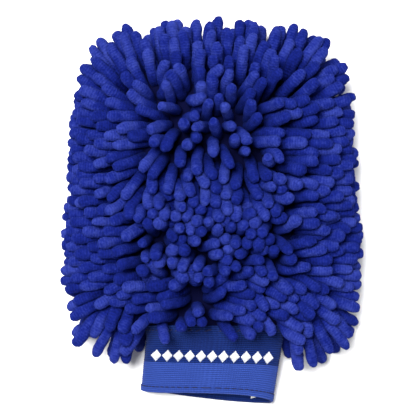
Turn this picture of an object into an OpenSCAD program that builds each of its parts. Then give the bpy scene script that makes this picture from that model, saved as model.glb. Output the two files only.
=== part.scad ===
// Wash mitt: two tufted faces sewn round a lined hand pocket, with a knitted elastic cuff.
// The mitt lies on its back face. +Y runs from the cuff to the finger tips and +Z points up.
// All sizes are in millimetres.

/* [Mitt cloth] */
// Half of the width across the backing cloth
cloth_half_w = 76; // [70:1:80]
// Distance from the widest line to the end of the cloth at the finger tips
tip_reach = 93; // [88:1:96]
// How far the front cloth rises above the side seam in the middle of the mitt
front_rise = 30; // [26:1:34]
// How far the back cloth drops below the side seam in the middle of the mitt
back_drop = 8; // [7:0.5:9]
// Thickness of the backing cloth
cloth_t = 1.2; // [1:0.1:1.4]
// Thickness of the lining cloth
lining_t = 0.8; // [0.6:0.1:1]

/* [Pile] */
// Rows of noodles on each face
row_count = 18; // [16:1:18]
// How far the noodles stand out past the cloth at the sides and the tip
pile_side = 25.6; // [23:0.2:27]
// Height of the noodles on the front face
pile_front = 25; // [22:1:26]

/* [Cuff] */
// Half of the width across the flat cuff at its seam
cuff_half_w = 45.8; // [42:0.2:46]
// Visible length of the cuff on its middle line
cuff_length = 48.2; // [46:0.2:50]
// Thickness of the knitted band
cuff_wall = 2.2; // [1.8:0.1:2.4]
// Difference in length between the cuff's two sides, as the cuff lies a little askew
cuff_skew = 7.4; // [0:0.2:7.4]

/* [Hidden] */
$fn = 24;
ROWS = [for (k = [1:row_count]) str(k < 10 ? "0" : "", k)];

// Heights and lengths that the rest follows from
seam_y = -75;          // plane where the cuff is sewn to the mitt
mid_y = 12;            // widest line of the mitt
wrist_reach = 87.67;      // from the widest line to where the cloth's outline would close at the wrist
tip_power = 3;         // squareness of the outline at the finger tips
wrist_power = 6;       // squareness of the outline at the wrist
seam_z = 26;           // height of the side seam above the surface the mitt lies on
seam_half = 0.8;       // half of the side seam's thickness
collar_rise = 9;       // rise of the front cloth, and drop of the back cloth, at the cuff seam
face_gap = 0.4;        // space between the backing and the lining
pile_gap = 1.2;        // space between the backing and the solid that stands for a noodle row
row_gap = 0.2;         // space between two rows
blunt = 0.995;         // share of a reach at which a rounded end is cut off square
tip_y = 129.3;         // furthest point of the noodles
across = 16;           // steps across a cloth or a row
pile_drop = 1.12;      // how much deeper than the surface the back pile would hang if it were free
seam_allowance = 7;    // width of the sewn edge inside the mitt
stitch_r = 0.4;        // radius of the sewing thread
joint_gap = 0.4;       // space between the cuff and the mitt at the cuff seam

// ---- outline and height of the cloth, at an offset d outside it ----

function reach(y) = y > mid_y ? tip_reach : wrist_reach;
function power(y) = y > mid_y ? tip_power : wrist_power;
function bow(t, n) = pow(1 - pow(min(abs(t), 0.9999), n), 1 / n);
function half_w(d, y) =
  (cloth_half_w + d) * bow((y - mid_y) / (reach(y) + (y > mid_y ? d : max(d, 0))), power(y));
function lens(t) = pow(1 - pow(min(abs(t), 1), 2.4), 0.6);
function slab(t) = pow(1 - pow(min(abs(t), 1), 5), 0.5);
function ease(t) = (1 + cos(180 * t)) / 2;
function to_wrist(y) = (mid_y - y) / (mid_y - seam_y);
function crown(d, y) =
  y > mid_y
    ? (front_rise + d) * lens((y - mid_y) / (tip_reach + d))
    : collar_rise + d + (front_rise - collar_rise) * ease(to_wrist(y));
function keel(d, y) =
  y > mid_y
    ? (back_drop + d) * slab((y - mid_y) / (tip_reach + d))
    : collar_rise + d + (back_drop - collar_rise) * ease(to_wrist(y));
function front_z(d, t, y) = seam_z + seam_half + crown(d, y) * lens(t);
function back_z(d, t, y) = seam_z - seam_half - keel(d, y) * slab(t);

// Share of the half-width at step i, from -1 at the left to 1 at the right
function share(i) = -cos(180 * i / across);
function front_arc(d, y, at = undef) =
  let (s = is_undef(at) ? y : at)
  [for (i = [0:across]) [half_w(d, s) * share(i), y, front_z(d, share(i), s)]];
function back_arc(d, y, at = undef) =
  let (s = is_undef(at) ? y : at)
  [for (i = [0:across]) [half_w(d, s) * share(i), y, back_z(d, share(i), s)]];

// ---- closed solids between two grids of points ----

function flat(grid) = [for (row = grid) for (p = row) p];
function quad(a, b, c, d) = [[a, b, c], [a, c, d]];

// The solid between an upper and a lower grid, each a list of arcs from one end to the other
module blanket(upper, lower) {
  n = len(upper) - 1;
  m = len(upper[0]) - 1;
  low = (n + 1) * (m + 1);
  function at(j, i) = j * (m + 1) + i;
  faces = concat(
    [for (j = [0:n - 1]) for (i = [0:m - 1])
      each quad(at(j, i), at(j + 1, i), at(j + 1, i + 1), at(j, i + 1))],
    [for (j = [0:n - 1]) for (i = [0:m - 1])
      each quad(low + at(j, i), low + at(j, i + 1), low + at(j + 1, i + 1), low + at(j + 1, i))],
    [for (i = [0:m - 1])
      each quad(at(0, i), at(0, i + 1), low + at(0, i + 1), low + at(0, i))],
    [for (i = [0:m - 1])
      each quad(at(n, i), low + at(n, i), low + at(n, i + 1), at(n, i + 1))],
    [for (j = [0:n - 1])
      each quad(at(j + 1, 0), at(j, 0), low + at(j, 0), low + at(j + 1, 0))],
    [for (j = [0:n - 1])
      each quad(at(j, m), at(j + 1, m), low + at(j + 1, m), low + at(j, m))]
  );
  polyhedron(points = concat(flat(upper), flat(lower)), faces = faces, convexity = 6);
}

// The wall between two tubes, each a list of closed rings with the same number of points
module sleeve(outer, inner) {
  n = len(outer) - 1;
  m = len(outer[0]);
  low = (n + 1) * m;
  function at(j, i) = j * m + (i % m);
  faces = concat(
    [for (j = [0:n - 1]) for (i = [0:m - 1])
      each quad(at(j, i), at(j, i + 1), at(j + 1, i + 1), at(j + 1, i))],
    [for (j = [0:n - 1]) for (i = [0:m - 1])
      each quad(low + at(j, i), low + at(j + 1, i), low + at(j + 1, i + 1), low + at(j, i + 1))],
    [for (i = [0:m - 1])
      each quad(at(0, i), low + at(0, i), low + at(0, i + 1), at(0, i + 1))],
    [for (i = [0:m - 1])
      each quad(at(n, i), at(n, i + 1), low + at(n, i + 1), low + at(n, i))]
  );
  polyhedron(points = concat(flat(outer), flat(inner)), faces = faces, convexity = 6);
}

// ---- cloth: backing and lining of both faces ----

row_pitch = (mid_y + tip_reach + pile_gap + 0.2 - seam_y) / (row_count - 2);
function cloth_end(d) = mid_y + (tip_reach + d) * blunt;
function cloth_y(d) =
  let (last = cloth_end(d), steps = row_count - 3)
  concat(
    [for (k = [0:steps]) seam_y + (last - 6 - seam_y) * k / steps],
    [last - 3, last - 1, last]
  );

module front_cloth(outer, thickness) {
  blanket(
    [for (y = cloth_y(outer)) front_arc(outer, y)],
    [for (y = cloth_y(outer - thickness)) front_arc(outer - thickness, y)]
  );
}

module back_cloth(outer, thickness) {
  blanket(
    [for (y = cloth_y(outer - thickness)) back_arc(outer - thickness, y)],
    [for (y = cloth_y(outer)) back_arc(outer, y)]
  );
}

module front_backing() { color("#1a2a86") front_cloth(0, cloth_t); }
module back_backing() { color("#1a2a86") back_cloth(0, cloth_t); }
module front_lining() { color("#27408f") front_cloth(-cloth_t - face_gap, lining_t); }
module back_lining() { color("#27408f") back_cloth(-cloth_t - face_gap, lining_t); }

// ---- side seam ----

// A point of the cloth's outline, for an angle a from +X
function outline_point(a) =
  let (n = sin(a) > 0 ? tip_power : wrist_power, b = sin(a) > 0 ? tip_reach : wrist_reach)
  [
    cloth_half_w * sign(cos(a)) * pow(abs(cos(a)), 2 / n),
    mid_y + b * sign(sin(a)) * pow(abs(sin(a)), 2 / n)
  ];
// The angle at which the outline meets the cuff seam's plane
wrist_angle = -asin(pow((mid_y - seam_y) / wrist_reach, wrist_power / 2));
// The same outline moved inward by a distance, square to itself
function inset(a, distance) =
  let (run = outline_point(a + 0.5) - outline_point(a - 0.5))
  outline_point(a) + distance * [-run[1], run[0]] / norm(run);
function outline(distance, steps) =
  [for (i = [0:steps])
    let (a = wrist_angle + (180 - 2 * wrist_angle) * i / steps)
    inset(a, distance)];

module side_seam_allowance() {
  steps = 64;
  edge = outline(0.3, steps);
  inner = outline(seam_allowance, steps);
  color("#22338f")
    translate([0, 0, seam_z - seam_half + 0.05])
      linear_extrude(2 * seam_half - 0.1)
        polygon(concat(edge, [for (i = [steps:-1:0]) inner[i]]));
}

module side_seam_stitching() {
  count = 96;
  height = 3;
  color("#2c3f9c")
    for (p = outline(seam_allowance + stitch_r + 0.1, count))
      translate([p[0], p[1], seam_z - height / 2]) cylinder(r = stitch_r, h = height);
}

// ---- noodle rows: each solid is the space that one row of noodles takes up ----

function row_y(k) =
  k <= row_count - 2
    ? seam_y + k * row_pitch
    : row_y(row_count - 2) + (k - row_count + 2) * (tip_y - row_y(row_count - 2)) / 2;
// Stations along a row, with the gap to the next row taken off both ends; the first row also
// has the shoulders that spread out past the cuff seam on both sides of the cuff
function stations(k) =
  let (a = row_y(k - 1) + (k == 1 ? 0 : row_gap / 2), b = row_y(k) - (k == row_count ? 0 : row_gap / 2))
  concat(k == 1 ? [for (s = [1, 0.85, 0.6, 0.3]) a - s * shoulder] : [], [a, (a + b) / 2, b]);
// Past the end of the cloth a row is solid down to the middle plane
function past_cloth(k) = k > row_count - 2;
function cored(y) = max(seam_y, min(y, cloth_end(pile_gap)));
core_half_w = 12;
core_gap = 0.3;
shoulder = 22;         // reach of the shoulders past the cuff seam
shoulder_end = 25;     // where the shoulders' rounding would close
shoulder_gap = 5;      // space between a shoulder and the cuff
function droop(y) = y < seam_y ? sqrt(1 - pow((seam_y - y) / shoulder_end, 2)) : 1;

function front_pile_z(t, y) =
  seam_z + seam_half
  + (y > mid_y
      ? (front_rise + pile_front) * pow(1 - pow((y - mid_y) / (tip_reach + pile_side), 3), 0.5)
      : (collar_rise + pile_front + (front_rise - collar_rise) * ease(to_wrist(max(y, seam_y))))
        * droop(y))
  * pow(1 - pow(min(abs(t), 1), 3), 0.5);
function back_pile_z(t, y) =
  (seam_z - seam_half)
  * (1 - pile_drop * pow(1 - pow(min(abs(t), 1), 4), 0.5)
      * (y > mid_y ? pow(1 - pow((y - mid_y) / (tip_reach + pile_side), 4), 0.5) : droop(y)));
function pile_arc(y, front) =
  [for (i = [0:across])
    let (t = share(i))
    [half_w(pile_side, y) * t, y, front ? front_pile_z(t, y) : back_pile_z(t, y)]];
function core_arc(k, y, front) =
  past_cloth(k)
    ? [for (i = [0:across])
        [core_half_w * share(i), y, seam_z + (front ? core_gap : -core_gap)]]
    : front ? front_arc(pile_gap, y, cored(y)) : back_arc(pile_gap, y, cored(y));

// The space the cuff needs between the shoulders
module cuff_bay() {
  translate([-cuff_half_w - shoulder_gap, seam_y - 60, -20])
    cube([2 * (cuff_half_w + shoulder_gap), 60, 140]);
}

module front_noodle_row(k) {
  color("#2b3fb0")
    difference() {
      blanket(
        [for (y = stations(k)) pile_arc(y, true)],
        [for (y = stations(k)) core_arc(k, y, true)]
      );
      if (k == 1) cuff_bay();
    }
}

// The back noodles are pressed flat where they touch the surface under the mitt
module back_noodle_row(k) {
  color("#2b3fb0")
    difference() {
      blanket(
        [for (y = stations(k)) core_arc(k, y, false)],
        [for (y = stations(k)) pile_arc(y, false)]
      );
      translate([-150, -150, -20]) cube([300, 300, 20]);
      if (k == 1) cuff_bay();
    }
}

// ---- cuff ----

cuff_y = seam_y - joint_gap;
cuff_top_z = seam_z + seam_half + collar_rise;
cuff_half_h = seam_half + collar_rise;
mouth_half_h = 9.5;    // half of the outer height of the cuff's mouth
mouth_half_w = 44.2;   // half of the outer width of the cuff's mouth
lean_start = 3;        // how far the cuff steps to the right just past its seam
lean = -6.5;           // how far it then leans to the left on its way to the mouth
lower_lip = 8;         // how much further the lower wall reaches at the right edge of the mouth
ring_points = 40;
cuff_steps = 6;
squareness = 2.6;
function swell(u) = pow(1 - pow(min(abs(u), 1), squareness), 1 / squareness);
function mix(a, b, s) = a + (b - a) * s;
function cuff_centre_x(s) = lean_start * min(1, s * cuff_steps) + lean * s;
function cuff_centre_z(s) = mix(seam_z, mouth_half_h, s);

// A point of the cuff at share s of its length and share u of its half-width, on its upper wall
// (side 1) or lower wall (side -1), at a depth inside its outer face
function cuff_wall_point(s, u, side, depth) =
  let (
    v = side * swell(u),
    x = cuff_centre_x(s) + (mix(cuff_half_w, mouth_half_w, s) - depth) * u,
    z = cuff_centre_z(s) + (mix(cuff_half_h, mouth_half_h, s) - depth) * v,
    run = cuff_length - lower_lip / 2 * v * (1 + u) / 2 + cuff_skew / 2 * u
  )
  [x, cuff_y - s * run, z];
// The same for an angle a round the cuff
function cuff_point(s, a, depth) = cuff_wall_point(s, cos(a), sign(sin(a)), depth);
function cuff_ring(s, depth) =
  [for (i = [0:ring_points - 1]) cuff_point(s, 360 * i / ring_points, depth)];

module cuff_band() {
  color("#3c55ac")
    sleeve(
      [for (j = [0:cuff_steps]) cuff_ring(j / cuff_steps, 0)],
      [for (j = [0:cuff_steps]) cuff_ring(j / cuff_steps, cuff_wall)]
    );
}

// A thin patch that follows one wall of the cuff, from share s0 to s1 and u0 to u1
module cuff_patch(s0, s1, u0, u1, side, above, thickness, steps = 6) {
  near = [for (j = [0:steps]) [for (i = [0:steps])
    cuff_wall_point(mix(s1, s0, j / steps), mix(u0, u1, i / steps), side, -above)]];
  far = [for (j = [0:steps]) [for (i = [0:steps])
    cuff_wall_point(mix(s1, s0, j / steps), mix(u0, u1, i / steps), side, -above - thickness)]];
  blanket(side > 0 ? far : near, side > 0 ? near : far);
}

// Where the two ends of the band are overlapped and sewn, inside the cuff near its left edge
module cuff_join_seam() {
  thickness = 1;
  color("#2f469c")
    cuff_patch(0.03, 0.93, -0.93, -0.84, -1, -cuff_wall - thickness - 0.25, thickness);
}

module thread_along(p, q) {
  run = q - p;
  length = norm(run);
  translate(p)
    rotate([0, acos(run[2] / length), atan2(run[1], run[0])])
      cylinder(r = stitch_r, h = length);
}

// Stitches laid round the outside of the cuff, from share s0 to s1, turned by lead degrees
module stitch_round(s0, s1, lead, count) {
  lift = stitch_r + 0.15;
  color("#2c3f9c")
    for (i = [0:count - 1])
      let (a = 360 * (i + 0.5) / count)
      thread_along(cuff_point(s0, a, -lift), cuff_point(s1, a + lead, -lift));
}

module cuff_seam_stitching() { stitch_round(0.04, 0.09, 0, 56); }
module cuff_hem_stitching() { stitch_round(0.9, 0.9, 3, 56); }

// A row of woven diamonds along the upper wall, each a thin raised patch
module cuff_diamond_motif() {
  count = 11;
  pitch = 0.165;
  half_u = 0.07;
  half_s = 0.085;
  centre = 0.44;
  thickness = 0.3;
  color("#f2f2f0")
    for (k = [0:count - 1])
      let (u = (k - (count - 1) / 2) * pitch)
      blanket(
        [for (j = [0:4]) diamond_line(centre, half_s, u, half_u, j / 4, 0.05 + thickness)],
        [for (j = [0:4]) diamond_line(centre, half_s, u, half_u, j / 4, 0.05)]
      );
}

// One line of points across a diamond, from its tip near the mouth (v = 0) to its other tip
function diamond_line(centre, half_s, u, half_u, v, lift) =
  let (width = half_u * max(0.06, 1 - abs(2 * v - 1)))
  [for (i = [-1:1]) cuff_wall_point(centre + half_s * (1 - 2 * v), u + width * i, 1, -lift)];

// A folded label sewn in the mouth, lying on the lower wall
module care_label() {
  color("#f4f4f2")
    cuff_patch(0.72, 0.985, 0.6, 0.86, -1, -cuff_wall - 0.6, 0.5, 3);
}

front_backing();
back_backing();
front_lining();
back_lining();
side_seam_allowance();
side_seam_stitching();
for (k = [1:row_count]) {
  front_noodle_row(k);
  back_noodle_row(k);
}
cuff_band();
cuff_join_seam();
cuff_seam_stitching();
cuff_hem_stitching();
cuff_diamond_motif();
care_label();
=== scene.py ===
"""Wash mitt: chenille noodles sewn in rows on both faces of a lined hand pocket, and a ribbed
elastic cuff. The mitt lies on its back face; +Y runs to the finger tips and +Z points up."""

import math

import bpy
import numpy as np
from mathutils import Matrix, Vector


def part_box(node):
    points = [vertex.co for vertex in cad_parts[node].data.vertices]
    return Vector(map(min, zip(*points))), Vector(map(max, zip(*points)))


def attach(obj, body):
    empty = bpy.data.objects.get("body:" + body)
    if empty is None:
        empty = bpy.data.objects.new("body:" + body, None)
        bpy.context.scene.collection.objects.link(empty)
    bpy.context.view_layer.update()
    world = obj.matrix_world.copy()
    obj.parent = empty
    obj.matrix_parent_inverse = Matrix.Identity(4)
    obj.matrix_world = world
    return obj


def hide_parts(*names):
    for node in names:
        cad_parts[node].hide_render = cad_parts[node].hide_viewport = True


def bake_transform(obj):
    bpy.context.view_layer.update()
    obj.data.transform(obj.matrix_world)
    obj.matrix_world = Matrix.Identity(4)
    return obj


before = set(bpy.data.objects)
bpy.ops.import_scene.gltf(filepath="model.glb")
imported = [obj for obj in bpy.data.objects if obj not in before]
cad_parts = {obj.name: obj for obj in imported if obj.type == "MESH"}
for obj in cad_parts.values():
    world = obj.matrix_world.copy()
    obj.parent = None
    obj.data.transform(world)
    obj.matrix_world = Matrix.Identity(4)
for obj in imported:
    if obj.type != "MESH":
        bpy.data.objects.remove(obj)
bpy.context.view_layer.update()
bpy.ops.object.select_all(action="DESELECT")


# ---- Backing cloths and linings ----
# The pocket is two domed cloths of woven polyester, cut to one outline and sewn together along it.
# A thinner knitted lining lies inside each. The noodles are sewn through the backing in rows.

backing_low, backing_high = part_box("front_backing")
allowance_low, allowance_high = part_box("side_seam_allowance")
BACKING_THICKNESS = 0.0012
LINING_THICKNESS = 0.0008
LINING_DEPTH = 0.0016
BACKING_YARN = 0.0009
LINING_LOOP = 0.0006
CREASE_ANGLE = math.radians(55)
WRIST_Y = backing_low.y
WIDEST_Y = 0.012
HALF_WIDTH = backing_high.x
TIP_REACH = 0.093
WRIST_REACH = 0.08767
TIP_SQUARENESS = 3
WRIST_SQUARENESS = 6
COLLAR_RISE = 0.009
SEAM_Z = (allowance_low.z + allowance_high.z) / 2
SEAM_HALF = backing_low.z - SEAM_Z
FRONT_RISE = backing_high.z - backing_low.z
BACK_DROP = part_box("back_backing")[1].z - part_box("back_backing")[0].z
TIP_Y = backing_high.y


def bow(share, squareness):
    """The width of a rounded outline, as a share of its widest, at a share of its reach."""
    return (1 - np.clip(np.abs(share), 0, 0.9999) ** squareness) ** (1 / squareness)


def half_width(y, inset=0.0):
    """Half of the cloth's width at y."""
    y = np.asarray(y, float)
    to_tip = bow((y - WIDEST_Y) / (TIP_REACH - inset), TIP_SQUARENESS)
    to_wrist = bow((y - WIDEST_Y) / WRIST_REACH, WRIST_SQUARENESS)
    return (HALF_WIDTH - inset) * np.where(y > WIDEST_Y, to_tip, to_wrist)


def swell(y, middle, wrist, fall):
    """The height of a face's middle line: full at its widest, low at the wrist, shut at the tip."""
    to_tip = middle * fall((y - WIDEST_Y) / TIP_REACH)
    ease = (1 + np.cos(np.pi * np.clip((WIDEST_Y - y) / (WIDEST_Y - WRIST_Y), 0, 1))) / 2
    return np.where(y > WIDEST_Y, to_tip, wrist + (middle - wrist) * ease)


def domed(share):
    """The front's fall from its middle to its edge, which is full and round."""
    return (1 - np.clip(np.abs(share), 0, 1) ** 2.4) ** 0.6


def flattened(share):
    """The back's fall, which stays level and turns up close to its edge."""
    return (1 - np.clip(np.abs(share), 0, 1) ** 5) ** 0.5


def front_height(x, y, inset=0.0):
    """Height of the front cloth's outer side."""
    rise = swell(y, FRONT_RISE, COLLAR_RISE, domed) - inset
    return SEAM_Z + SEAM_HALF + np.maximum(rise, 0) * domed(x / half_width(y, inset))


def back_height(x, y, inset=0.0):
    """Height of the back cloth's outer side, which the mitt's weight presses nearly flat."""
    drop = swell(y, BACK_DROP, COLLAR_RISE, flattened) - inset
    return SEAM_Z - SEAM_HALF - np.maximum(drop, 0) * flattened(x / half_width(y, inset))


class Wire:
    """One output of a shader node. Arithmetic on wires adds Math nodes to their material."""

    def __init__(self, finish, socket):
        self.finish = finish
        self.socket = socket

    def worked(self, operation, *terms):
        return self.finish.node("ShaderNodeMath", {"operation": operation}, dict(enumerate(terms)))

    def __add__(self, other):
        return self.worked("ADD", self, other)

    def __sub__(self, other):
        return self.worked("SUBTRACT", self, other)

    def __rsub__(self, other):
        return self.worked("SUBTRACT", other, self)

    def __mul__(self, other):
        return self.worked("MULTIPLY", self, other)

    __radd__ = __add__
    __rmul__ = __mul__

    def clamped(self):
        return self.worked("MINIMUM", self.worked("MAXIMUM", self, 0.0), 1.0)

    def sine(self):
        return self.worked("SINE", self)


class Finish:
    """A material, made of a principled shader and the nodes that feed it."""

    def __init__(self, name, **shader):
        self.material = bpy.data.materials.new(name)
        self.material.use_nodes = True
        self.nodes = self.material.node_tree.nodes
        self.links = self.material.node_tree.links
        self.shader = self.nodes["Principled BSDF"]
        named = {k.replace("_", " ").title().replace("Ior", "IOR"): v for k, v in shader.items()}
        self.feed(self.shader, named)

    def feed(self, node, inputs):
        for socket, value in inputs.items():
            if isinstance(value, Wire):
                self.links.new(value.socket, node.inputs[socket])
            else:
                node.inputs[socket].default_value = value

    def node(self, kind, settings=None, inputs=None, output=0):
        made = self.nodes.new(kind)
        for name, value in (settings or {}).items():
            if name == "stops":
                made.color_ramp.elements[0].position, made.color_ramp.elements[0].color = value[0]
                made.color_ramp.elements[1].position, made.color_ramp.elements[1].color = value[-1]
                for position, color in value[1:-1]:
                    made.color_ramp.elements.new(position).color = color
            else:
                setattr(made, name, value)
        self.feed(made, inputs or {})
        return Wire(self, made.outputs[output])

    def place(self):
        return self.node("ShaderNodeTexCoord", output=3)

    def attribute(self, name):
        return self.node("ShaderNodeAttribute", {"attribute_name": name}, output=2)

    def noise(self, scale, detail=3.0, roughness=0.5):
        fields = {"Scale": scale, "Detail": detail, "Roughness": roughness, "Vector": self.place()}
        return self.node("ShaderNodeTexNoise", None, fields)

    def blended(self, share, first, second):
        return self.node(
            "ShaderNodeMix", {"data_type": "RGBA"}, {0: share, 6: first, 7: second}, output=2
        )

    def bumped(self, height, distance):
        return self.node("ShaderNodeBump", None, {"Height": height, "Distance": distance})

    def wear(self, piece):
        piece.data.materials.clear()
        piece.data.materials.append(self.material)


def woven(name, dark, light, yarn, roughness, sheen):
    """A plain cloth of crossing yarns, mottled a little."""
    cloth = Finish(
        name, roughness=roughness, specular_ior_level=0.06, sheen_weight=sheen, sheen_roughness=0.5
    )
    place = cloth.node("ShaderNodeSeparateXYZ", None, {0: cloth.place()})
    along = cloth.node("ShaderNodeSeparateXYZ", None, {0: cloth.place()}, output=1)
    turns = 2 * math.pi / yarn
    weave = (place * turns).sine() * (along * turns).sine()
    mottle = cloth.noise(140.0)
    colour = cloth.blended((weave * 0.3 + mottle).clamped(), dark, light)
    cloth.feed(cloth.shader, {"Base Color": colour, "Normal": cloth.bumped(weave, yarn / 4)})
    return cloth


# The backing's blue is darkened to near black as painted shade in the gaps between the noodles.
backing_cloth = woven(
    "woven_backing", (0.0006, 0.001, 0.014, 1), (0.0015, 0.0024, 0.03, 1), BACKING_YARN, 0.9, 0.0
)
lining_cloth = woven(
    "knitted_lining", (0.010, 0.018, 0.11, 1), (0.022, 0.038, 0.19, 1), LINING_LOOP, 0.85, 0.05
)


def add_wall(cloth, thickness, offset):
    """Gives a surface the cloth's thickness; with offset -1 it goes in behind the surface."""
    wall = cloth.modifiers.new("wall", "SOLIDIFY")
    wall.thickness = thickness
    wall.offset = offset
    wall.use_even_offset = False
    bpy.ops.object.modifier_apply(modifier="wall")
    bpy.ops.object.shade_smooth_by_angle(angle=CREASE_ANGLE)


def lay_cloth(node, height, inset, thickness, outward, finish):
    """A cloth that follows one face of the pocket, at an inset below the face's outer side."""
    bpy.ops.object.select_all(action="DESELECT")
    bpy.ops.mesh.primitive_grid_add(x_subdivisions=72, y_subdivisions=84, size=2)
    cloth = bpy.context.object
    cloth.name = node + "_cloth"
    flat = np.array([v.co for v in cloth.data.vertices])
    reach = TIP_Y - inset - WRIST_Y
    y = WRIST_Y + reach * np.sin((flat[:, 1] + 1) * math.pi / 4)
    x = half_width(y, inset) * np.sin(flat[:, 0] * math.pi / 2)
    shaped = np.column_stack([x, y, height(x, y, inset)])
    cloth.data.vertices.foreach_set("co", shaped.ravel())
    if outward < 0:
        cloth.data.flip_normals()
    add_wall(cloth, thickness, -1)
    finish.wear(cloth)
    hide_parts(node)
    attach(cloth, "mitt")


for face, height, outward in (("front", front_height, 1), ("back", back_height, -1)):
    for layer, inset, thickness, finish in (
        ("backing", 0.0, BACKING_THICKNESS, backing_cloth),
        ("lining", LINING_DEPTH, LINING_THICKNESS, lining_cloth),
    ):
        lay_cloth(f"{face}_{layer}", height, inset, thickness, outward, finish)


# ---- Side seam ----
# The two backings are sewn right sides together, so their raw edges lie inside the pocket as a
# narrow strip. An overlock thread binds that edge.

seam_thread = Finish("seam_thread", roughness=0.6, specular_ior_level=0.2)
twist = seam_thread.noise(2600.0, detail=1.0)
seam_thread.feed(
    seam_thread.shader,
    {
        "Base Color": seam_thread.blended(twist, (0.002, 0.004, 0.03, 1), (0.008, 0.014, 0.08, 1)),
        "Normal": seam_thread.bumped(twist, 0.0001),
    },
)
backing_cloth.wear(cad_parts["side_seam_allowance"])
seam_thread.wear(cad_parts["side_seam_stitching"])


# ---- Cuff ----
# A strip of elastic, knitted in fine ribs that run around the wrist, and darker in its upper half.
# It is closed into a ring by one join seam, and its lower edge is folded in as a hem. It lies
# flattened, leans a little to one side and slopes down until its mouth rests on the surface.

CUFF_START_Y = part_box("cuff_band")[1].y
CUFF_HALF_WIDTH = 0.0458
MOUTH_HALF_WIDTH = 0.0442
CUFF_HALF_HEIGHT = SEAM_HALF + COLLAR_RISE
MOUTH_HALF_HEIGHT = 0.0095
CUFF_LENGTH = 0.0482
CUFF_THICKNESS = 0.001
CUFF_MEAN_RADIUS = 0.031
CUFF_SKEW = 0.0074
LOWER_LIP = 0.008
CUFF_LEAN_START = 0.003
CUFF_LEAN = -0.0065
CUFF_SQUARENESS = 2.6
FOLD_RADIUS = 0.00115
HEM_DEPTH = 0.0062
HEM_SEAM = 0.91
HEM_EDGE = 0.90
HEM_RELIEF = 0.00035
HEM_RISE = 0.0012
RIB_PITCH = 0.0014
RIB_HEIGHT = 0.00028
WALE_PITCH = 0.0011
DARK_LENGTH = 0.0262
JOIN_TURN = 3.69


def cuff_place(along, turn, depth):
    """Points on the cuff, at shares along it and angles around it, at a depth under its outside."""
    along, turn, depth = np.broadcast_arrays(along, turn, depth)
    across, rise = np.cos(turn), np.sin(turn)
    u = np.sign(across) * np.abs(across) ** (2 / CUFF_SQUARENESS)
    v = np.sign(rise) * np.abs(rise) ** (2 / CUFF_SQUARENESS)
    middle_x = CUFF_LEAN_START * np.minimum(1, along * 6) + CUFF_LEAN * along
    middle_z = SEAM_Z + (MOUTH_HALF_HEIGHT - SEAM_Z) * along
    half_w = CUFF_HALF_WIDTH + (MOUTH_HALF_WIDTH - CUFF_HALF_WIDTH) * along - depth
    half_h = CUFF_HALF_HEIGHT + (MOUTH_HALF_HEIGHT - CUFF_HALF_HEIGHT) * along - depth
    ripple = 0.0005 * np.sin(3 * turn + 0.6) * along**3
    run = CUFF_LENGTH - LOWER_LIP / 2 * v * (1 + u) / 2 + CUFF_SKEW / 2 * u + ripple
    return np.stack([middle_x + half_w * u, CUFF_START_Y - along * run, middle_z + half_h * v], -1)


CUFF_COLUMNS = 144
CUFF_COURSES = 168
bpy.ops.object.select_all(action="DESELECT")
bpy.ops.mesh.primitive_grid_add(x_subdivisions=CUFF_COLUMNS, y_subdivisions=CUFF_COURSES, size=2)
cuff = bpy.context.object
cuff.name = "elastic_cuff"
flat = np.array([v.co for v in cuff.data.vertices])
turn = JOIN_TURN + math.pi * (flat[:, 0] + 1)
straight = CUFF_LENGTH - FOLD_RADIUS
fold = math.pi * FOLD_RADIUS
travel = (1 - flat[:, 1]) / 2 * (straight + fold + HEM_DEPTH)
bent = np.clip((travel - straight) / fold, 0, 1) * math.pi
inner = np.maximum(travel - straight - fold, 0)
along = (np.minimum(travel, straight) + FOLD_RADIUS * np.sin(bent) - inner) / CUFF_LENGTH
rib = 0.5 + 0.5 * np.cos(travel * 2 * math.pi / RIB_PITCH)
sewn_in = np.exp(-(((travel - HEM_SEAM * CUFF_LENGTH) / (HEM_RISE / 2)) ** 2)) * HEM_RELIEF
hem_pad = HEM_RELIEF * np.clip((travel - HEM_EDGE * CUFF_LENGTH) / HEM_RISE, 0, 1)
depth = FOLD_RADIUS * (1 - np.cos(bent)) - rib * RIB_HEIGHT + sewn_in - hem_pad
depth += 0.0004 * np.exp(-(((1 - np.abs(flat[:, 0])) / 0.012) ** 2))
cuff.data.vertices.foreach_set("co", cuff_place(along, turn, depth).ravel())
for attribute, values in (("travel", travel), ("around", turn * CUFF_MEAN_RADIUS)):
    cuff.data.attributes.new(attribute, "FLOAT", "POINT").data.foreach_set("value", values)
bpy.ops.object.mode_set(mode="EDIT")
bpy.ops.mesh.select_all(action="SELECT")
bpy.ops.mesh.remove_doubles(threshold=0.00001)
bpy.ops.object.mode_set(mode="OBJECT")
cuff.data.flip_normals()
add_wall(cuff, CUFF_THICKNESS, -1)

cuff_knit = Finish(
    "cuff_knit_elastic",
    roughness=0.8,
    specular_ior_level=0.08,
    sheen_weight=0.06,
    sheen_roughness=0.4,
)
cuff_knit.shader.inputs["Sheen Tint"].default_value = (0.4, 0.5, 1.0, 1)
course = (cuff_knit.attribute("travel") * (2 * math.pi / RIB_PITCH) + math.pi / 2).sine()
wale = (cuff_knit.attribute("around") * (2 * math.pi / WALE_PITCH)).sine()
fibre = cuff_knit.noise(900.0, detail=4.0, roughness=0.7)
stretch = cuff_knit.noise(60.0)
dark_border = (cuff_knit.attribute("travel") - DARK_LENGTH) * -2500.0
upper = (dark_border + (fibre - 0.5) * 1.5 + 0.5).clamped()
# Painted shade: the hem's folded-in inner face, seen through the mouth, takes the dark yarn.
inside = ((cuff_knit.attribute("travel") - straight - fold * 0.5) * 2000.0).clamped()
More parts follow.
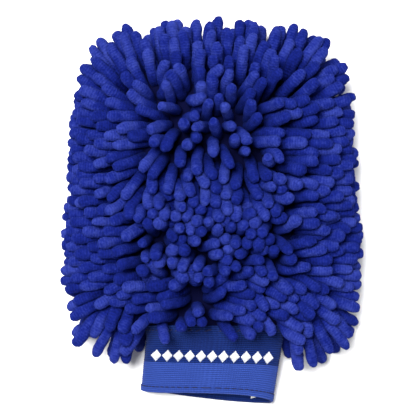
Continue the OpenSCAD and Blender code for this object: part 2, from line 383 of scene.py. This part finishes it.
# Painted shade: the course term darkens the rib grooves. The fibre and stretch terms are the yarn's
# own uneven tone.
light = (course * 0.32 + wale * 0.1 + fibre * 0.55 + stretch * 0.35 - 0.1).clamped()
bright_yarn = cuff_knit.blended(light, (0.0125, 0.030, 0.16, 1), (0.0285, 0.063, 0.295, 1))
dark_yarn = cuff_knit.blended(light, (0.0018, 0.0075, 0.058, 1), (0.0065, 0.025, 0.150, 1))
cuff_knit.feed(
    cuff_knit.shader,
    {
        "Base Color": cuff_knit.blended((upper + inside).clamped(), bright_yarn, dark_yarn),
        "Normal": cuff_knit.bumped(wale * 0.3 + course * 0.5 + fibre * 0.6, 0.00022),
    },
)
cuff_knit.wear(cuff)
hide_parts("cuff_band")
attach(cuff, "cuff")


# ---- Cuff seams ----
# The strip's two ends stand inside the ring as one bound strip. One row of dark thread sews the
# cuff to the wrist and another holds the hem; each stitch dips into the knit at both its ends.


def stalk(sides, rings):
    """A closed round stalk that stands on the origin; rings are the heights and widths up it."""
    bpy.ops.object.select_all(action="DESELECT")
    rise, width = rings[0]
    bpy.ops.mesh.primitive_circle_add(
        vertices=sides, radius=width, fill_type="NGON", location=(0, 0, rise)
    )
    made = bpy.context.object
    bpy.ops.object.mode_set(mode="EDIT")
    for next_rise, next_width in rings[1:]:
        step = (0, 0, next_rise - rise)
        bpy.ops.mesh.extrude_region_move(TRANSFORM_OT_translate={"value": step})
        bpy.ops.transform.resize(value=(next_width / width, next_width / width, 1))
        rise, width = next_rise, next_width
    bpy.ops.mesh.select_all(action="SELECT")
    bpy.ops.mesh.normals_make_consistent(inside=False)
    bpy.ops.object.mode_set(mode="OBJECT")
    shape = np.array([v.co for v in made.data.vertices]) + np.array([0, 0, made.location.z])
    faces = [tuple(p.vertices) for p in made.data.polygons]
    bpy.data.objects.remove(made)
    levels, level_of = np.unique(np.round(shape[:, 2], 5), return_inverse=True)
    return shape, faces, levels, level_of


def unit(v):
    return v / np.maximum(np.linalg.norm(v, axis=-1, keepdims=True), 1e-9)


def strung(name, pattern, centres, ahead, hint, girth):
    """Copies of one stalk, each bent along its own line of centres, as one mesh."""
    shape, pattern_faces, levels, level_of = pattern
    across = np.empty_like(ahead)
    for level in range(len(levels)):
        hint = unit(hint - (hint * ahead[:, level]).sum(1, keepdims=True) * ahead[:, level])
        across[:, level] = hint
    over = np.cross(ahead, across)
    places = (
        centres[:, level_of]
        + shape[:, :1] * girth * across[:, level_of]
        + shape[:, 1:2] * girth * over[:, level_of]
    )
    size = len(shape)
    faces = [tuple(i + size * n for i in f) for n in range(len(centres)) for f in pattern_faces]
    mesh = bpy.data.meshes.new(name)
    mesh.from_pydata(places.reshape(-1, 3), [], faces)
    mesh.shade_smooth()
    piece = bpy.data.objects.new(name, mesh)
    bpy.context.scene.collection.objects.link(piece)
    return piece


THREAD_RADIUS = 0.0004
STITCH_SHARE = 0.66
STITCH_LIFT = 0.00042
STITCH_SINK = 0.0001
SEAM_STITCHES = 60
HEM_STITCHES = 58
JOIN_THICKNESS = 0.0007
JOIN_DEPTH = 0.0022
JOIN_CURL = 0.00035
stitch = stalk(
    8, [(0, 0.55), (0.1, 0.95), (0.3, 1.1), (0.5, 1.0), (0.7, 1.1), (0.9, 0.95), (1, 0.55)]
)


def stitched(name, node, along, count, climb, lead):
    """A row of stitches around the cuff, from one share along it to the next."""
    first = (np.arange(count) + lead) * 2 * math.pi / count
    share = stitch[2][None]
    turn = first[:, None] + share * STITCH_SHARE * 2 * math.pi / count
    lift = STITCH_LIFT * np.sin(share * math.pi) ** 0.7 - STITCH_SINK
    centres = cuff_place(along + climb * share, turn, -lift + 0 * turn)
    ahead = unit(np.gradient(centres, axis=1))
    row = strung(name, stitch, centres, ahead, centres[:, 3] * 0 + [0, 0, 1.0], THREAD_RADIUS)
    seam_thread.wear(row)
    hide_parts(node)
    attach(row, "cuff")


stitched("cuff_seam_thread", "cuff_seam_stitching", 0.045, SEAM_STITCHES, 0.03, 0.0)
stitched("cuff_hem_thread", "cuff_hem_stitching", HEM_SEAM, HEM_STITCHES, 0.0, 0.3)

bpy.ops.object.select_all(action="DESELECT")
bpy.ops.mesh.primitive_grid_add(x_subdivisions=10, y_subdivisions=70, size=2)
join = bpy.context.object
join.name = "cuff_join_strip"
flat = np.array([v.co for v in join.data.vertices])
join_along = 0.03 + 0.45 * (flat[:, 1] + 1)
join_turn = JOIN_TURN + 0.012 + 0.03 * flat[:, 0]
curl = JOIN_CURL * np.cos(flat[:, 0] * 3 * math.pi) * (1 + 0.4 * np.sin(flat[:, 1] * 60))
join.data.vertices.foreach_set("co", cuff_place(join_along, join_turn, JOIN_DEPTH - curl).ravel())
join_travel, join_around = join_along * CUFF_LENGTH, join_turn * CUFF_MEAN_RADIUS
for attribute, values in (("travel", join_travel), ("around", join_around)):
    join.data.attributes.new(attribute, "FLOAT", "POINT").data.foreach_set("value", values)
add_wall(join, JOIN_THICKNESS, 0)
cuff_knit.wear(join)
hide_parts("cuff_join_seam")
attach(join, "cuff")


# ---- Diamonds ----
# A plain row of white diamonds, embroidered across the dark part of the cuff in satin stitch.
# Each one is a block of close parallel threads, longest in its middle.

DIAMONDS = 11
DIAMOND_PITCH = 0.165
DIAMOND_HALF_WIDTH = 0.070
DIAMOND_HALF_LENGTH = 0.085
DIAMOND_MIDDLE = 0.44
DIAMOND_THREADS = 13
DIAMOND_THREAD_RADIUS = 0.0003
DIAMOND_PAD = 0.0005
diamond_thread = stalk(
    6, [(0, 0.5), (0.06, 0.95), (0.35, 1.05), (0.65, 1.05), (0.94, 0.95), (1, 0.5)]
)
span = (np.arange(DIAMOND_THREADS) + 0.5) / DIAMOND_THREADS * 2 - 1
middles = (np.arange(DIAMONDS) - (DIAMONDS - 1) / 2) * DIAMOND_PITCH
thread_u = (middles[:, None] + span * DIAMOND_HALF_WIDTH).ravel()
thread_half = np.tile(DIAMOND_HALF_LENGTH * (1 - np.abs(span)) + 0.006, DIAMONDS)
share = diamond_thread[2][None]
thread_along = DIAMOND_MIDDLE + thread_half[:, None] * (2 * share - 1)
pad = DIAMOND_PAD * (1 - (2 * share - 1) ** 4) - DIAMOND_PAD / 10
thread_turn = np.arccos(np.sign(thread_u) * np.abs(thread_u) ** (CUFF_SQUARENESS / 2))[:, None]
centres = cuff_place(thread_along, thread_turn, -pad)
ahead = unit(np.gradient(centres, axis=1))
sideways = centres[:, 0] * 0 + [1.0, 0, 0]
diamonds = strung(
    "cuff_diamonds", diamond_thread, centres, ahead, sideways, DIAMOND_THREAD_RADIUS
)
white_thread = Finish("white_thread", roughness=0.42, sheen_weight=0.2)
strand = white_thread.noise(1500.0, detail=2.0)
white_thread.feed(
    white_thread.shader,
    {
        "Base Color": white_thread.blended(strand, (0.40, 0.42, 0.46, 1), (0.60, 0.61, 0.64, 1)),
        "Normal": white_thread.bumped(strand, 0.00008),
    },
)
white_thread.wear(diamonds)
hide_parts("cuff_diamond_motif")
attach(diamonds, "cuff")


# ---- Care label ----
# A blank white satin tape, folded in two and caught in the hem inside the mouth.

LABEL_THICKNESS = 0.0002
LABEL_SPREAD = 0.15
LABEL_ACROSS = 0.8
LABEL_FOLD = 0.92
LABEL_LEAF = 0.262
LABEL_DEPTH = 0.0032
SATIN_RIB = 0.0005
bpy.ops.object.select_all(action="DESELECT")
bpy.ops.mesh.primitive_grid_add(x_subdivisions=14, y_subdivisions=60, size=2)
label = bpy.context.object
label.name = "satin_label"
flat = np.array([v.co for v in label.data.vertices])
label_middle = 2 * math.pi - math.acos(LABEL_ACROSS ** (CUFF_SQUARENESS / 2))
label_turn = label_middle + flat[:, 0] * LABEL_SPREAD
label_along = LABEL_FOLD - LABEL_LEAF * np.abs(flat[:, 1]) - 0.02 * flat[:, 0]
leaves_apart = 0.0003 * np.clip(flat[:, 1] * 6, -1, 1)
label_depth = LABEL_DEPTH + leaves_apart + 0.0002 * np.cos(flat[:, 0] * 4)
label.data.vertices.foreach_set("co", cuff_place(label_along, label_turn, label_depth).ravel())
add_wall(label, LABEL_THICKNESS, 0)
satin = Finish("white_satin", roughness=0.35, sheen_weight=0.1)
place = satin.node("ShaderNodeSeparateXYZ", None, {0: satin.place()})
ribbing = (place * (2 * math.pi / SATIN_RIB)).sine()
cloud = satin.noise(300.0)
satin.feed(
    satin.shader,
    {
        "Base Color": satin.blended(cloud, (0.7, 0.71, 0.73, 1), (0.85, 0.85, 0.86, 1)),
        "Normal": satin.bumped(ribbing, 0.00006),
    },
)
satin.wear(label)
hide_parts("care_label")
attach(label, "cuff")


# ---- Chenille noodles ----
# Each noodle is a short length of soft chenille yarn, sewn through the backing at one end. They
# stand in rows, push each other aside, hang a little and lie the way they were last brushed.

NOODLE_RADIUS = 0.0042
NOODLE_REACH = 0.0235
NOODLE_STEPS = 6
NOODLE_PITCH = 0.0067
ZIGZAG = 0.0028
CORNER_STRETCH = 0.42
LOW_RIGHT_STRETCH = 0.2
SIDE_TRIM = 0.17
ROWS = 18
ROOT_SCATTER = 0.0006
ROOT_SINK = 0.0015
AT_EDGE = 0.999
CUFF_ROWS = 2
EDGE_LEAN = 3.2
SIDE_LEAN = 1.7
LIFT_LEAN = 0.8
SWEEP_LEAN = 1.05
SHOULDER_LEAN = 1.6
PARTING_LEAN = 1.3
PARTING_DROP = 0.6
CUFF_LEAN_DOWN = 0.12
SWEEP_X = -0.012
PARTING_X = -0.010
UPRIGHT_HALF_WIDTH = 0.030
UPRIGHT_NARROWING = 0.025
STRAY_FRONT = 0.2
STRAY_BACK = 0.28
DROOP = 0.055
SAG = 0.00006
CROWDING = 0.35
SQUEEZE = 0.9
LYING_HEIGHT = 1.15
PILE_CLUMP = 0.0024
PILE_RUFFLE = 0.0011
PILE_RELIEF = 0.0009
PILE_RIDGE = 0.0017
PAINTED_SHADE_LENGTH = 0.018
SETTLING_ROUNDS = 220
chance = np.random.default_rng(11)
noodle = stalk(
    8,
    [
        (0.0, 0.86), (0.07, 1.0), (0.2, 1.03), (0.34, 0.98), (0.48, 1.03),
        (0.62, 0.98), (0.75, 1.04), (0.86, 1.02), (0.94, 0.8), (0.99, 0.4),
    ],
)


def eased(low, high, value):
    share = np.clip((value - low) / (high - low), 0, 1)
    return share * share * (3 - 2 * share)


def row_roots(height, row):
    """The sewn ends of one row's noodles: a zigzag over the cloth, and more at its two sides."""
    fine_y = np.linspace(WRIST_Y + 0.001, TIP_Y - 0.0005, 600)
    climb = np.hypot(np.diff(fine_y), np.diff(height(0 * fine_y, fine_y)))
    run_up = np.concatenate([[0], np.cumsum(climb)])
    y = np.interp(run_up[-1] * (row - 0.5) / ROWS, run_up, fine_y)
    fine_x = np.sin(np.linspace(-1, 1, 400) * math.pi / 2) * half_width(y) * 0.998
    fine_z = height(fine_x, np.full(400, y))
    run = np.concatenate([[0], np.cumsum(np.hypot(np.diff(fine_x), np.diff(fine_z)))])
    count = max(4, round(run[-1] / NOODLE_PITCH) + row % 2)
    at = np.linspace(ROOT_SCATTER, run[-1] - ROOT_SCATTER, count)
    at = at + chance.normal(0, ROOT_SCATTER, count)
    x = np.interp(at, run, fine_x)
    zigzag = ZIGZAG * (-1.0) ** np.arange(count)
    y = y + zigzag + chance.normal(0, ROOT_SCATTER, count)
    y = np.clip(y, WRIST_Y + 0.0005, TIP_Y - 0.0003)
    x = np.clip(x, -half_width(y) * AT_EDGE, half_width(y) * AT_EDGE)
    row_ends = np.array([row, 0] if row == 1 else [row])
    between = np.interp(run_up[-1] * row_ends / ROWS, run_up, fine_y)
    edge_y = np.repeat(between, 2)
    edge_x = half_width(edge_y) * AT_EDGE * np.tile([-1, 1], len(between))
    x, y = np.concatenate([x, edge_x]), np.concatenate([y, edge_y])
    return np.column_stack([x, y, height(x, y)])


def outward(height, roots, side):
    """The way out of the cloth at each root; at the edge it turns level."""
    nudge = 0.0012
    x, y = roots[:, 0], roots[:, 1]

    def near(dx, dy):
        limit = half_width(y + dy)
        return height(np.clip(x + dx, -limit, limit), y + dy)

    slope_x = (near(nudge, 0) - near(-nudge, 0)) / (2 * nudge)
    slope_y = (near(0, nudge) - near(0, -nudge)) / (2 * nudge)
    return unit(np.column_stack([-slope_x, -slope_y, np.full(len(x), 1.0)]) * side)


def towards_edge(x, y):
    """How near the cloth's edge each place is, from 0 to 1, and the way out across that edge."""
    power = np.where(y > WIDEST_Y, TIP_SQUARENESS, WRIST_SQUARENESS)
    reach = np.where(y > WIDEST_Y, TIP_REACH, WRIST_REACH)
    u, v = np.abs(x) / HALF_WIDTH, np.abs(y - WIDEST_Y) / reach
    away_x = np.sign(x) * u ** (power - 1) / HALF_WIDTH
    away_y = np.sign(y - WIDEST_Y) * v ** (power - 1) / reach
    return u**power + v**power, unit(np.column_stack([away_x, away_y]))


def brushed(x, y):
    """The lean, sideways for each unit of rise, that the front face's noodles were left with."""
    # All round the edge they lie outwards, and at both sides the lean reaches further in.
    edge, away = towards_edge(x, y)
    lean = EDGE_LEAN * eased(0.4, 0.98, edge)[:, None] * away
    middle_y = 1 - eased(0.055, 0.085, y)
    upright_half = UPRIGHT_HALF_WIDTH - UPRIGHT_NARROWING * eased(0.030, 0.050, y)
    sideways = np.sign(x) * SIDE_LEAN * eased(upright_half, 0.066, np.abs(x)) * middle_y
    # The finger end lies towards the tip, and a patch below it is swept down.
    lift = LIFT_LEAN * eased(0.048, 0.092, y)
    swept = eased(-0.004, 0.010, y) * (1 - eased(0.028, 0.052, y))
    swept *= 1 - eased(0.030, 0.052, np.abs(x - SWEEP_X))
    # The shoulders beside the cuff hang down.
    shoulder = (1 - eased(-0.062, -0.040, y)) * eased(0.044, 0.054, np.abs(x))
    upwards = lift - SWEEP_LEAN * swept - SHOULDER_LEAN * shoulder
    lean += np.column_stack([sideways * (1 - shoulder), upwards])
    # Above the cuff they part to both sides, and over it they stand up.
    from_parting = x - PARTING_X
    parting = (1 - eased(-0.048, -0.034, y)) * eased(0.0, 0.014, np.abs(from_parting))
    parting = parting * (1 - shoulder)
    lean[:, 0] += PARTING_LEAN * np.sign(from_parting) * parting
    lean[:, 1] -= PARTING_DROP * eased(0.0, 0.03, x) * parting
    by_cuff = (1 - eased(-0.072, -0.060, y)) * (1 - eased(0.040, 0.050, np.abs(x - 0.002)))
    over_cuff = by_cuff[:, None] * np.array([0.0, -CUFF_LEAN_DOWN])
    return lean * (1 - by_cuff)[:, None] + over_cuff


def comb(roots, normals, side):
    """The direction each noodle would take if it were alone."""
    x, y = roots[:, 0], roots[:, 1]
    if side > 0:
        lean = brushed(x, y)
        stray = chance.normal(0, STRAY_FRONT, (len(x), 3))
        return unit(np.column_stack([lean, np.ones(len(x))]) + stray)
    edge, away = towards_edge(x, y)
    lean = (0.8 + 2.4 * eased(0.2, 0.9, edge))[:, None] * away
    stray = chance.normal(0, STRAY_BACK, (len(x), 3))
    return unit(normals + np.column_stack([lean, np.zeros(len(x))]) + stray)


def lifted_off(points, side, radius):
    """Moves points that have sunk into the pocket or the cuff back out to its surface."""
    x, y, z = points[..., 0], points[..., 1], points[..., 2]
    inside = (np.abs(x) < half_width(y)) & (y > WRIST_Y) & (y < TIP_Y)
    along = np.clip((CUFF_START_Y - y) / CUFF_LENGTH, 0, 1)
    middle = CUFF_LEAN_START * np.minimum(1, along * 6) + CUFF_LEAN * along
    over = (np.abs(x - middle) < CUFF_HALF_WIDTH) & (y <= WRIST_Y) & (along < 1)
    u = np.clip((x - middle) / CUFF_HALF_WIDTH, -1, 1)
    cuff_half = CUFF_HALF_HEIGHT * (1 - np.abs(u) ** CUFF_SQUARENESS) ** (1 / CUFF_SQUARENESS)
    cuff_middle = SEAM_Z + (MOUTH_HALF_HEIGHT - SEAM_Z) * along
    top = np.where(inside, front_height(x, y), np.where(over, cuff_middle + cuff_half, -1))
    bottom = np.where(inside, back_height(x, y), np.where(over, cuff_middle - cuff_half, 1))
    return np.where(side > 0, np.maximum(z, top + radius), np.minimum(z, bottom - radius))


def settled(roots, normals, aims, side, reach):
    """Lets the noodles push each other aside and droop, and returns each one's line of points."""
    count = len(roots)
    pace = reach[:, None] / NOODLE_STEPS
    steps = np.arange(1, NOODLE_STEPS + 1)
    bend = np.clip((steps - 0.5) / 2.5, 0, 1)[None, :, None]
    droop = np.array([0, 0, -1.0]) * (DROOP * steps)[None, :, None]
    way = unit(normals[:, None] * (1 - bend) + aims[:, None] * bend + droop)
    start = (roots - normals * ROOT_SINK)[:, None]
    wished = np.concatenate([start, start + np.cumsum(way * pace[:, None], 1)], 1)
    points = wished.copy()
    points[..., 2] = np.maximum(points[..., 2], NOODLE_RADIUS)
    owner = np.repeat(np.arange(count), NOODLE_STEPS + 1)
    hold = np.concatenate([[1.0, 0.6], np.linspace(0.16, 0.035, NOODLE_STEPS - 1)])
    hold = hold[None, :, None]
    touching = 2 * NOODLE_RADIUS * SQUEEZE
    facing = side[:, None] * np.ones(NOODLE_STEPS + 1)
    for turn in range(SETTLING_ROUNDS):
        if turn % 6 == 0:
            flat = points.reshape(-1, 3).astype(np.float32) * 1000
            squares = (flat**2).sum(1)
            gaps = squares[:, None] + squares[None] - 2 * flat @ flat.T
            first, second = np.nonzero(np.triu(gaps < (1000 * touching + 2.5) ** 2, 1))
            apart = owner[first] != owner[second]
            first, second = first[apart], second[apart]
        flat = points.reshape(-1, 3)
        flat[:, 2] -= SAG
        gap = flat[first] - flat[second]
        distance = np.linalg.norm(gap, axis=1)
        push = np.maximum(touching - distance, 0) * CROWDING
        shift = gap / np.maximum(distance, 1e-6)[:, None] * push[:, None]
        for axis in range(3):
            flat[:, axis] += np.bincount(first, shift[:, axis], len(flat))
            flat[:, axis] -= np.bincount(second, shift[:, axis], len(flat))
        points = flat.reshape(count, NOODLE_STEPS + 1, 3)
        points += hold * (wished - points)
        points[:, 2:, 2] = lifted_off(points[:, 2:], facing[:, 2:], NOODLE_RADIUS * SQUEEZE)
        points[:, 1:, 2] = np.maximum(points[:, 1:, 2], NOODLE_RADIUS * 0.92)
        for step in range(1, NOODLE_STEPS + 1):
            run = points[:, step] - points[:, step - 1]
            points[:, step] = points[:, step - 1] + unit(run) * pace
    points[:, 1:, 2] = np.maximum(points[:, 1:, 2], NOODLE_RADIUS * LYING_HEIGHT)
    return points


def points_along(lines, at):
    """Places on a smooth curve through each line's points, at whole and part numbers of steps."""
    start = np.clip(at.astype(int), 0, NOODLE_STEPS - 1)
    share = (at - start)[..., None]
    padded = np.concatenate(
        [2 * lines[:, :1] - lines[:, 1:2], lines, 2 * lines[:, -1:] - lines[:, -2:-1]], 1
    )
    before, here, there, after = (
        np.take_along_axis(padded, (start + offset)[..., None], 1) for offset in range(4)
    )
    curve = (
        here
        + 0.5 * share * (there - before)
        + share**2 * (before - 2.5 * here + 2 * there - 0.5 * after)
        + share**3 * (1.5 * (here - there) + 0.5 * (after - before))
    )
    return np.where(share > 1, there + (share - 1) * (there - here), curve)


pile_clumps = bpy.data.textures.new("pile_clumps", "CLOUDS")
pile_clumps.noise_scale = PILE_CLUMP
pile_clumps.noise_depth = 1


def noodle_row(name, lines):
    """One row's noodles: the straight noodle, bent along each settled line and a little lumpy."""
    count = len(lines)
    shape, _, levels, level_of = noodle
    pace = np.linalg.norm(lines[:, 1] - lines[:, 0], axis=1)[:, None]
    length = pace * NOODLE_STEPS + NOODLE_RADIUS
    at = levels[None] * length / pace
    centres = points_along(lines, at)
    ahead = unit(points_along(lines, at + 0.1) - points_along(lines, np.maximum(at - 0.1, 0)))
    turn = chance.uniform(0, 2 * math.pi, count)
    hint = np.column_stack([np.cos(turn), np.sin(turn), 0.3 * np.ones(count)])
    plump = chance.normal(1.0, 0.05, (count, 1)) * chance.normal(1.0, 0.05, at.shape)
    dents = chance.normal(1.0, 0.06, (count, len(shape), 1))
    girth = NOODLE_RADIUS * plump[:, level_of][..., None] * dents
    row = strung(name, noodle, centres, ahead, hint, girth)
    for attribute, values in (
        ("along", (shape[:, 2][None] * length).ravel()),
        ("dye", np.repeat(chance.uniform(0, 1, count), len(shape))),
    ):
        row.data.attributes.new(attribute, "FLOAT", "POINT").data.foreach_set("value", values)
    rounding = row.modifiers.new("rounding", "SUBSURF")
    rounding.levels = rounding.render_levels = 1
    ruffle = row.modifiers.new("ruffle", "DISPLACE")
    ruffle.texture = pile_clumps
    ruffle.texture_coords = "LOCAL"
    ruffle.strength = PILE_RUFFLE
    return row


chenille = Finish(
    "chenille_yarn",
    roughness=0.95,
    specular_ior_level=0.02,
    sheen_weight=0.05,
    sheen_roughness=0.6,
)
chenille.shader.inputs["Sheen Tint"].default_value = (0.1, 0.2, 1.0, 1)
tuft = chenille.noise(650.0, detail=5.0, roughness=0.7)
patch = chenille.noise(160.0)
along = chenille.attribute("along")
# Painted shade: each noodle's colour darkens towards its sewn root, to deepen the recesses in the
# pile. The ridges also paint a faint shade into their grooves.
ridges = (along * (2 * math.pi / PILE_RIDGE) + tuft * 7.0).sine()
clear_of_painted_root_shade = (along * (1 / PAINTED_SHADE_LENGTH)).clamped()
shade = patch * 0.4 + tuft * 0.7 + chenille.attribute("dye") * 0.25 + ridges * 0.04
shade = (shade + clear_of_painted_root_shade * 0.45 - 0.68).clamped()
chenille_colour = chenille.node(
    "ShaderNodeValToRGB",
    {
        "stops": [
            (0.05, (0.0004, 0.0012, 0.030, 1)),
            (0.4, (0.0050, 0.0105, 0.125, 1)),
            (0.85, (0.036, 0.054, 0.285, 1)),
        ]
    },
    {0: shade},
)
relief = chenille.bumped(tuft + ridges * 0.08, PILE_RELIEF)
chenille.feed(chenille.shader, {"Base Color": chenille_colour, "Normal": relief})

roots, normals, aims, sides, rows = [], [], [], [], []
for side, height in ((1, front_height), (-1, back_height)):
    for row in range(1, ROWS + 1):
        sewn = row_roots(height, row)
        out = outward(height, sewn, side)
        roots.append(sewn)
        normals.append(out)
        aims.append(comb(sewn, out, side))
        sides.append(np.full(len(sewn), side))
        rows.append(np.full(len(sewn), row))
roots, normals, aims, sides, rows = map(np.concatenate, (roots, normals, aims, sides, rows))
edge, away = towards_edge(roots[:, 0], roots[:, 1])
corner = eased(0.6, 1.0, edge) * (away[:, 0] * away[:, 1] * 2) ** 2
low_right = (1 - eased(-0.070, -0.050, roots[:, 1])) * eased(0.040, 0.052, roots[:, 0])
upper_side = eased(0.6, 1.0, edge) * away[:, 0] ** 2 * eased(-0.03, 0.02, roots[:, 1])
reach = NOODLE_REACH * chance.uniform(0.9, 1.06, len(roots))
reach *= 1 + CORNER_STRETCH * corner + LOW_RIGHT_STRETCH * low_right - SIDE_TRIM * upper_side
lines = settled(roots, normals, aims, sides, reach)

for side, face in ((1, "front"), (-1, "back")):
    for row in range(1, ROWS + 1):
        of_row = (sides == side) & (rows == row)
        node = f"{face}_noodle_row_{row:02d}"
        over_cuff = of_row & (side > 0) & (row <= CUFF_ROWS) & (np.abs(roots[:, 0]) < CUFF_HALF_WIDTH)
        for ending, members in (("", of_row & ~over_cuff), ("_by_cuff", over_cuff)):
            if not members.any():
                continue
            piece = noodle_row(f"{face}_noodles_{row:02d}{ending}", lines[members])
            chenille.wear(piece)
            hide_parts(node)
            if ending:
                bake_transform(piece)
            else:
                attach(piece, "mitt")


# ---- Studio ----
# A white table top under one soft main light and a weak fill, with the camera straight above it.

TABLE_SIZE = 8
TABLE_GAP = 0.0004
MIDDLE_HEIGHT = 0.03
CAMERA_HEIGHT = 1.6
SEEN_WIDTH = 0.2793
SEEN_MIDDLE = (-0.0013, 0.0017)

bpy.ops.mesh.primitive_plane_add(size=TABLE_SIZE, location=(0, 0, -TABLE_GAP))
table = bpy.context.object
table.name = "table_top"
table_paint = Finish("table_paint", roughness=0.9)
grain = table_paint.noise(40.0)
table_paint.feed(
    table_paint.shader,
    {"Base Color": table_paint.blended(grain, (0.86, 0.86, 0.87, 1), (0.9, 0.9, 0.9, 1))},
)
table_paint.wear(table)


def hung(name, kind, place, power, colour):
    """A light of one kind, hung at a place and turned to face the mitt's middle."""
    light = bpy.data.lights.new(name, kind)
    light.energy = power
    light.color = colour
    lamp = bpy.data.objects.new(name, light)
    bpy.context.scene.collection.objects.link(lamp)
    lamp.location = place
    x, y, z = place[0], place[1], place[2] - MIDDLE_HEIGHT
    lamp.rotation_euler = (math.acos(z / math.hypot(x, y, z)), 0, math.atan2(x, -y))
    return light


key_light = hung("key_light", "SUN", (-0.3, 0.35, 1.35), 7.4, (1.0, 0.99, 0.98))
key_light.angle = math.radians(26)
fill_light = hung("fill_light", "AREA", (0.9, -0.5, 1.1), 6.0, (0.95, 0.97, 1.0))
fill_light.size = 1.2

studio = bpy.data.worlds.new("studio")
studio.use_nodes = True
sky = studio.node_tree.nodes
around = sky.new("ShaderNodeTexCoord")
split = sky.new("ShaderNodeSeparateXYZ")
glow = sky.new("ShaderNodeMapRange")
for socket, value in (("From Min", 0.08), ("From Max", 0.45), ("To Min", 0.95), ("To Max", 0.22)):
    glow.inputs[socket].default_value = value
wire = studio.node_tree.links.new
wire(around.outputs["Generated"], split.inputs["Vector"])
wire(split.outputs["Z"], glow.inputs["Value"])
wire(glow.outputs["Result"], sky["Background"].inputs["Strength"])
sky["Background"].inputs["Color"].default_value = (1, 1, 1, 1)
bpy.context.scene.world = studio
bpy.context.scene.view_settings.view_transform = "Standard"

camera_data = bpy.data.cameras.new("camera")
camera_data.lens = camera_data.sensor_width * (CAMERA_HEIGHT - MIDDLE_HEIGHT) / SEEN_WIDTH
camera = bpy.data.objects.new("camera", camera_data)
camera.location = (*SEEN_MIDDLE, CAMERA_HEIGHT)
bpy.context.scene.collection.objects.link(camera)
bpy.context.scene.camera = camera

bpy.context.view_layer.update()
